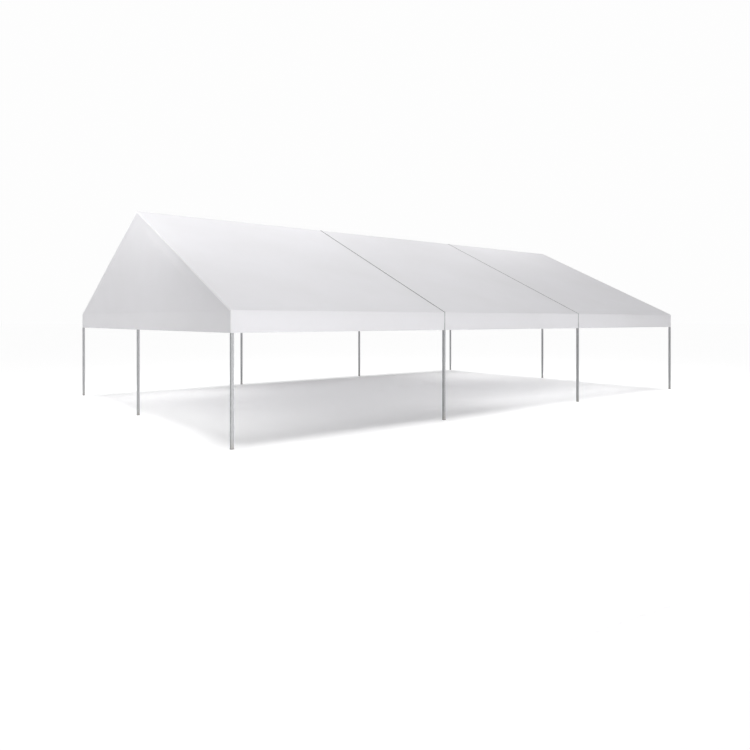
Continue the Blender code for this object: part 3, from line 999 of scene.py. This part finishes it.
# %% [markdown]
# Beams hook onto the frames with cleats, angles of thick plate with one leg on the beam and one on the
# bracket. An eave beam has its cleat on the inner face, where no cloth lies, and a ridge beam has it
# underneath. Along a gable, beam and bracket are flush, so one flat fishplate spans the joint.

# %% Cleats and fishplates
CLEAT = 0.062
CLEAT_THICK = 0.005
EAVE_CLEAT = (0.068, 0.42)   # how tall, and the height of its middle as a share of the beam's
RIDGE_CLEAT = 0.050
PLATE_BOLT = 0.005
STRAP = 0.054   # how tall a fishplate is
MIDDLE_PLATE = (0.250, (-0.100, -0.060, 0, 0.060, 0.100))   # length, and where its bolts are
GUSSET_PLATE = (0.190, (-0.075, -0.032, 0.032, 0.075))
POST_PLATE = 0.095   # how far it reaches down the post
POST_BOLTS = (-0.075, -0.035)


def cleat(bm, corner, first, second, tall):
    """Two plates at right angles. corner is the line where they meet, first and second the ways they face."""
    corner, first, second = Vector(corner), Vector(first), Vector(second)
    for facing, along in ((first, second), (second, first)):
        centre = corner + along * CLEAT / 2
        placing = out_of(centre, facing)
        wide = abs((placing.to_3x3().inverted() @ along).x) > 0.5
        plate(bm, placing, CLEAT if wide else tall, tall if wide else CLEAT, CLEAT_THICK)
        across = first.cross(second) * tall / 4
        for sign in (-1, 1):
            bolt(bm, centre + facing * CLEAT_THICK + along * 0.006 + across * sign, facing, PLATE_BOLT)


def eave_cleats(bm, index, face):
    low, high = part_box("eave_beam_back_1")
    tall, share = EAVE_CLEAT
    middle_z = low.z + (high.z - low.z) * share
    x = FRAME_X[index] + face * HALF_PROFILE
    for side in (-1, 1):
        cleat(bm, (x, side * EAVE_BEAM_INNER, middle_z), (0, -side, 0), (face, 0, 0), tall)


def ridge_cleat(bm, index, face):
    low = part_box("ridge_beam_1")[0]
    cleat(bm, (FRAME_X[index] + face * HALF_PROFILE, 0, low.z), (0, 0, -1), (face, 0, 0), RIDGE_CLEAT)


def fishplate(bm, x, y, z, facing, length, bolts):
    plate(bm, out_of((x, y, z), (facing, 0, 0)), length, STRAP, CLEAT_THICK)
    for offset in bolts:
        bolt(bm, (x + facing * CLEAT_THICK, y + offset, z), (facing, 0, 0), PLATE_BOLT)


def gable_plates(bm, index, facing):
    """Fishplates inside an end frame, at the post and at both gussets, and a plate on the post."""
    x = FRAME_X[index] + facing * HALF_PROFILE
    low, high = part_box("gable_beam_left_back")
    middle_z = (low.z + high.z) / 2
    fishplate(bm, x, 0, middle_z, facing, *MIDDLE_PLATE)
    for side in (-1, 1):
        fishplate(bm, x, side * high.y, middle_z, facing, *GUSSET_PLATE)
    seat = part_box("gable_post_left")[1].z
    bottom = seat - POST_PLATE
    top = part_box("ridge_beam_1")[0].z - CLEAT - 0.003
    plate(bm, out_of((x, 0, (bottom + top) / 2), (facing, 0, 0)), STRAP, top - bottom, CLEAT_THICK)
    for offset in (*POST_BOLTS, (top - seat) / 2):
        bolt(bm, (x + facing * CLEAT_THICK, 0, seat + offset), (facing, 0, 0), PLATE_BOLT)


def joining_plates(index):
    bm = bmesh.new()
    for face in faces_of(index):
        eave_cleats(bm, index, face)
        ridge_cleat(bm, index, face)
    if len(faces_of(index)) == 1:
        gable_plates(bm, index, faces_of(index)[0])
    return metal_piece(f"joining_plates_{index + 1}", bm, BRACKET)


JOINING_PLATES = [joining_plates(index) for index in range(len(FRAME_X))]
print("cleats and fishplates:", [len(piece.data.polygons) for piece in JOINING_PLATES], "faces")

# %% [markdown]
# Each foot plate is welded on. The bead is a small fillet that runs round the leg where it meets the plate,
# a little uneven like any hand weld, so its size follows a fine ripple. The edge beads of the cloth end
# just below the hem, in the slots of the inner legs, and their cut rope ends show there.

# %% Weld beads and rope ends
FOOT_PLATE_TOP = 0.008
BEAD_LEG = 0.005
BEAD_POINTS = 96
BEAD_CORNER = 0.003
CORNER_REACH = 1.38   # where a full square would have 1.414
BEAD_RIPPLE = (0.10, 31)   # share of the bead's size, and ripples round a leg
BEAD_SLICES = ((-0.003, 0.0), (1.0, 0.0), (0.75, 0.45), (0.4, 0.8), (-0.003, 1.0))   # out and up
ROPE_RADIUS = 0.0021
ROPE_PLACE = 0.0175
ROPE_DEPTH = 0.0042
ROPE_BELOW = 0.014


def weld_bead(bm, x, y):
    """A fillet round a square leg. Each of its slices is a square ring with its corners rounded off."""
    half = HALF_PROFILE + BEAD_CORNER
    height, count = BEAD_RIPPLE
    rings = [[] for _ in BEAD_SLICES]
    for k in range(BEAD_POINTS):
        turn = 2 * math.pi * k / BEAD_POINTS
        to_side = half / max(abs(math.cos(turn)), abs(math.sin(turn)))
        leg = BEAD_LEG * (1 + height * math.sin(count * turn))
        for ring, (out, up) in zip(rings, BEAD_SLICES):
            r = min(to_side, half * CORNER_REACH) - BEAD_CORNER + out * leg
            ring.append((x + r * math.cos(turn), y + r * math.sin(turn), FOOT_PLATE_TOP + up * leg))
    stacked(bm, Matrix.Identity(4), rings)


def feet():
    bm = bmesh.new()
    for name in NODES:
        if name.startswith(("leg", "gable_post")):
            low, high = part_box(name)
            weld_bead(bm, (low.x + high.x) / 2, (low.y + high.y) / 2)
    return metal_piece("foot_weld_beads", bm, BRACKET)


def rope_ends():
    bm = bmesh.new()
    for x in FRAME_X[1:-1]:
        for side in (-1, 1):
            y = side * (OUTER_Y - SHOULDER - ROPE_DEPTH)
            for edge in (-ROPE_PLACE, ROPE_PLACE):
                bar(bm, (x + edge, y, HEM_Z - ROPE_BELOW), (x + edge, y, HEM_Z + ROPE_BELOW), ROPE_RADIUS, 10)
    return metal_piece("bead_rope_ends", bm, BINDING_AND_HIGHLIGHT, slot="fabric")


FEET = feet()
ROPE_ENDS = rope_ends()
print("foot beads:", len(FEET.data.polygons), "faces, rope ends:", len(ROPE_ENDS.data.polygons))

# %% [markdown]
# The two inner frames have no post in the middle. A tie cable keeps their legs from spreading, and a rod
# from the ridge keeps the cable from sagging. The cable is six strands laid round a core, so its section is
# a six-lobed ring that turns as it goes along. It is hooked to an eye plate on the gusset with a fork, and
# a turnbuckle at the front end sets its tension.

# %% Tie cable
CLAMP_TOP = 0.0223   # the rod stands on the clamp, this far above the middle of the cable
TIE_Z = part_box("tie_hanger_2")[0].z - CLAMP_TOP
CABLE_RADIUS = 0.006
STRANDS = 6
LAY = 0.090
CABLE_STEP = 0.011
VALLEY = 0.20   # depth between two strands, as a share of the radius
TIE_BOLT = 0.004
EYE_PLATE = (0.050, 0.090, 0.006)   # width, height and thickness, as for the next two
LUG = (0.044, 0.030, 0.008)
CHEEK = (0.052, 0.026, 0.006)
PIN = 0.0055
PIN_AT = 0.034
FORK_LENGTH = 0.090
FORK_NECK = 0.024
STUD = 0.0065
BUCKLE_LENGTH = 0.300
BUCKLE_SLEEVES = (0.040, 0.218)
BUCKLE_NUTS = (0.026, 0.250)
BUCKLE_RODS = (0.045, 0.240)
SADDLE = (0.036, 0.060, 0.020)
SWAGE = [(0.0085, 0), (0.0105, 0.006), (0.0105, 0.070), (0.0075, 0.085)]   # radius and place along it
CABLE_INSIDE = 0.005
ROD_PLATE = (0.056, 0.120, 0.008)
ROD_TOP = [(0.018, 0), (0.015, 0.020)]
ROD_BOTTOM = [(0.015, 0), (0.013, 0.016)]
LOCK_NUT = [(0.014, 0), (0.014, 0.010), (0.0125, 0.011)]


def stranded(bm, x, start_y, end_y, z):
    """A twisted cable along Y."""
    count = int(abs(end_y - start_y) / CABLE_STEP)
    lobes = []
    for k in range(3 * STRANDS):
        angle = 2 * math.pi * k / (3 * STRANDS)
        bulge = abs(math.cos(STRANDS * angle / 2)) ** 0.6
        lobes.append((angle, CABLE_RADIUS * (1 - VALLEY + VALLEY * bulge)))
    rings = []
    for step in range(count + 1):
        y = start_y + (end_y - start_y) * step / count
        twist = 2 * math.pi * y / LAY
        rings.append([(x + r * math.cos(a + twist), y, z + r * math.sin(a + twist)) for a, r in lobes])
    stacked(bm, Matrix.Identity(4), rings)


def tie_end(x, side):
    """Where a tie cable meets the gusset, and the way from there into the tent."""
    return Vector((x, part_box("tie_cable_2")[1].y * side, TIE_Z)), Vector((0, -side, 0))


def eye_and_fork(bm, root, inward):
    """The fitting at one gusset. Returns how far from the gusset it reaches."""
    plate(bm, out_of(root, inward), *EYE_PLATE)
    for dx in (-0.015, 0.015):
        for dz in (-0.033, 0.033):
            bolt(bm, root + Vector((dx, 0, dz)) + inward * EYE_PLATE[2], inward, TIE_BOLT)
    lug = out_of(root + inward * 0.022 - Vector((LUG[2] / 2, 0, 0)), (1, 0, 0))
    plate(bm, lug, *LUG, corner=0.013)
    pin_at = root + inward * PIN_AT
    pin_half = Vector((0.019, 0, 0))
    for end in (-1, 1):
        cheek = out_of(root + inward * 0.048 + Vector((end * 0.0045, 0, 0)), (end, 0, 0))
        plate(bm, cheek, *CHEEK, corner=0.012)
    bar(bm, pin_at - pin_half, pin_at + pin_half, PIN)
    for end in (-1, 1):
        bolt(bm, pin_at + Vector((end * 0.0105, 0, 0)), (end, 0, 0), PIN)
    bar(bm, root + inward * (FORK_LENGTH - FORK_NECK), root + inward * FORK_LENGTH, 0.0115, 16)
    return FORK_LENGTH


def turnbuckle(bm, root, inward, reach):
    """An open turnbuckle with its two studs and lock nuts."""
    root = root + inward * reach
    bar(bm, root, root + inward * BUCKLE_LENGTH, STUD)
    for start in BUCKLE_SLEEVES:
        bar(bm, root + inward * start, root + inward * (start + 0.026), 0.0140, 16)
    for edge in (-0.0125, 0.0125):
        first, last = (root + inward * along + Vector((edge, 0, 0)) for along in BUCKLE_RODS)
        bar(bm, first, last, 0.0045, 10)
    for start in BUCKLE_NUTS:
        turned(bm, out_of(root + inward * start, inward), [(0.0115, 0), (0.0115, 0.010)], 6)
    return reach + BUCKLE_LENGTH


def swage(bm, root, inward, reach):
    """The pressed sleeve that holds the end of the cable."""
    turned(bm, out_of(root + inward * reach, inward), SWAGE)
    return reach + SWAGE[-1][1] - CABLE_INSIDE


def cable_clamp(bm, x):
    """Two saddles that grip the cable under the rod."""
    for sign in (-1, 1):
        plate(bm, out_of((x, 0, TIE_Z + sign * 0.001), (0, 0, sign)), *SADDLE)
        for y in (-0.020, 0.020):
            bolt(bm, (x, y, TIE_Z + sign * 0.021), (0, 0, sign), TIE_BOLT)


def tie_rig(index):
    x = FRAME_X[index]
    bm = bmesh.new()
    cable_ends = []
    for side in (-1, 1):
        root, inward = tie_end(x, side)
        reach = eye_and_fork(bm, root, inward)
        if side < 0:
            reach = turnbuckle(bm, root, inward, reach)
        reach = swage(bm, root, inward, reach)
        cable_ends.append(root.y + inward.y * reach)
    cable_clamp(bm, x)
    fittings = len(bm.faces)
    stranded(bm, x, *cable_ends, TIE_Z)
    bm.faces.ensure_lookup_table()
    for face in bm.faces[fittings:]:
        face.material_index = 1
    piece = metal_piece(f"tie_rig_{index + 1}", bm, PLATED, WIRE, slot="cable")
    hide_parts(f"tie_cable_{index + 1}")
    return piece


def tie_rod(index):
    """The rod from the ridge bracket's seat down to the clamp."""
    x = FRAME_X[index]
    name = f"tie_hanger_{index + 1}"
    low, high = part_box(name)
    bm = bmesh.new()
    bar(bm, (x, 0, low.z), (x, 0, high.z - 0.002), half_width(name), 16)
    width, length, thick = ROD_PLATE
    plate(bm, out_of((x, 0, high.z), (0, 0, -1)), width, length, thick)
    for y in (-0.042, 0.042):
        bolt(bm, (x, y, high.z - thick), (0, 0, -1), PLATE_BOLT)
    for z, way, socket in ((high.z - thick, -1, ROD_TOP), (low.z, 1, ROD_BOTTOM)):
        turned(bm, out_of((x, 0, z), (0, 0, way)), socket, 20)
        turned(bm, out_of((x, 0, z + way * socket[-1][1]), (0, 0, way)), LOCK_NUT, 6)
    piece = metal_piece(f"tie_rod_{index + 1}", bm, PLATED, slot="cable")
    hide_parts(name)
    return piece


TIES = [make(index) for index in range(1, len(FRAME_X) - 1) for make in (tie_rig, tie_rod)]
print("ties:", [(piece.name, len(piece.data.polygons)) for piece in TIES])

# %% [markdown]
# The frame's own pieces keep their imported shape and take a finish. Which finish depends on the way the
# profile runs, so a short table of name beginnings is enough.

# %% Finishes of the frame's own pieces
def finish_for(name):
    if name.startswith("rafter"):
        return RAFTER_FINISH["front" if "front" in name else "back"]
    table = {"leg": UPRIGHT, "gable_post": UPRIGHT, "eave_beam": ALONG_X, "ridge_beam": ALONG_X,
             "gable_beam": ALONG_Y, "corner_bracket": BRACKET, "ridge_bracket": BRACKET,
             "tie_cable": WIRE, "tie_hanger": PLATED, "roof_panel": ROOF_CLOTH, "gable_panel": GABLE_CLOTH}
    return next(finish for start, finish in table.items() if name.startswith(start))


for name, node in NODES.items():
    for material_slot in node.material_slots:
        material_slot.material = finish_for(name)
print("finished", len(NODES), "pieces of the frame")

# %% [markdown]
# The floor and the light belong to the stage, not to the tent. The floor is pale and shines a little by
# itself, like a lit studio sweep, which keeps it near white around the tent.

# %% Stage: floor
FLOOR_SIZE = 900.0
FLOOR_GLOW = 0.178


def make_floor():
    bpy.ops.mesh.primitive_plane_add(size=FLOOR_SIZE)
    floor = bpy.context.object
    floor.name = "floor"
    material, _, shader = start_material("pale_floor", 0.9)
    shader.inputs["Base Color"].default_value = (0.92, 0.92, 0.92, 1)
    shader.inputs["Specular IOR Level"].default_value = 0.0
    shader.inputs["Emission Color"].default_value = (1, 1, 1, 1)
    shader.inputs["Emission Strength"].default_value = FLOOR_GLOW
    floor.data.materials.append(material)
    return floor


FLOOR = make_floor()

# %% [markdown]
# The cloth is lit very softly, yet the shadow on the floor has a clear edge, a dark middle and light ends.
# One sun can't do both. Light linking can: a lamp is given a collection that says what it lights. So a wide
# sun lights the tent and leaves out the floor, a narrower one lights the floor alone, and weak lamps under
# the roof lighten the floor at both ends. A few large lamps outside give the cloth its slow changes of
# tone.

# %% Stage: light
WORLD_LIGHT = 0.16
BACKDROP = 0.985
SUNS = {   # strength and angular width, for the tent and for the floor
    "sun": (1.93, math.radians(100)),
    "floor_sun": (2.23, math.radians(30)),
}

# Place, the point it is aimed at, length and width in metres, and watts
LAMPS = {
    "lamp_apex": ((-12, 0.5, 7.5), (-9, 0, 5), 2.5, 2.5, 44.0),
    "lamp_apex_front": ((-11.5, -2.6, 7), (-9.2, -1.4, 4.6), 2.5, 2.5, 43.0),
    "lamp_gable": ((-12, 6, 6), (-9.2, 3, 4), 3.0, 3.0, 55.0),
    "lamp_near_slope": ((-7, -7, 12), (-7, -3, 4), 5.0, 5.0, 75.0),
    "lamp_near_ridge": ((-4.5, 0, 11), (-4.5, 0, 0), 9.0, 3.0, 194.0),
    "lamp_far_ridge": ((6, 0, 10), (6, 0, 0), 7.0, 2.0, 110.0),
    "lamp_front_left": ((-9.6, -15.5, 1), (-8, -6, 2.6), 1.8, 1.8, 340.0),
    "lamp_front_right": ((3, -16, 1), (3, -6, 2.6), 1.8, 1.8, 203.0),
}
FLOOR_LAMPS = {
    "floor_left_back": ((-7, 4.5, 2.6), (-7, 4.5, 0), 5.0, 2.0, 49.0),
    "floor_left_front": ((-8.3, -1.5, 2.8), (-8.3, -1.5, 0), 2.0, 7.0, 46.0),
    "floor_right_end": ((9, 0, 2.3), (9, 0, 0), 3.0, 11.0, 50.0),
    "floor_right_back": ((7.2, 3, 2.6), (7.2, 3, 0), 3.0, 4.0, 22.0),
    "floor_right_front": ((4.4, -5.0, 2.4), (4.4, -5.0, 0), 9.0, 1.6, 62.0),
}


def make_world():
    world = bpy.data.worlds.new("studio")
    world.use_nodes = True
    tree = world.node_tree
    tree.nodes.clear()
    mix = add(tree, "MixShader")
    tree.links.new(add(tree, "LightPath").outputs["Is Camera Ray"], mix.inputs[0])
    for socket, strength in ((mix.inputs[1], WORLD_LIGHT), (mix.inputs[2], BACKDROP)):
        background = add(tree, "Background")
        background.inputs["Strength"].default_value = strength
        background.inputs["Color"].default_value = (1, 1, 1, 1)
        tree.links.new(background.outputs[0], socket)
    tree.links.new(mix.outputs[0], add(tree, "OutputWorld").inputs["Surface"])
    bpy.context.scene.world = world


def receivers(name, state):
    """A collection that limits a lamp to the floor, or to everything else."""
    group = bpy.data.collections.new(name)
    group.objects.link(FLOOR)
    group.collection_objects[0].light_linking.link_state = state
    return group


def make_lamp(name, place, aim, length, width, watts, lit=None):
    lamp = bpy.data.lights.new(name, "AREA")
    lamp.energy = watts
    lamp.shape = "DISK" if length == width else "RECTANGLE"
    lamp.size = length
    lamp.size_y = width
    ob = placed(name, lamp)
    ob.location = place
    ob.rotation_euler = (Vector(aim) - Vector(place)).to_track_quat("-Z", "Y").to_euler()
    ob.visible_camera = False
    ob.light_linking.receiver_collection = lit


def make_sun(name, strength, angle, lit):
    sun = bpy.data.lights.new(name, "SUN")
    sun.energy = strength
    sun.angle = angle
    placed(name, sun).light_linking.receiver_collection = lit


FLOOR_ALONE = receivers("the floor alone", "INCLUDE")
ALL_BUT_FLOOR = receivers("all but the floor", "EXCLUDE")
make_world()
make_sun("sun", *SUNS["sun"], ALL_BUT_FLOOR)
make_sun("floor_sun", *SUNS["floor_sun"], FLOOR_ALONE)
for lamp_name, settings in LAMPS.items():
    make_lamp(lamp_name, *settings)
for lamp_name, settings in FLOOR_LAMPS.items():
    make_lamp(lamp_name, *settings, FLOOR_ALONE)
bpy.context.scene.view_settings.view_transform = "Standard"
print("suns:", len(SUNS), "lamps:", len(LAMPS), "and for the floor:", len(FLOOR_LAMPS))
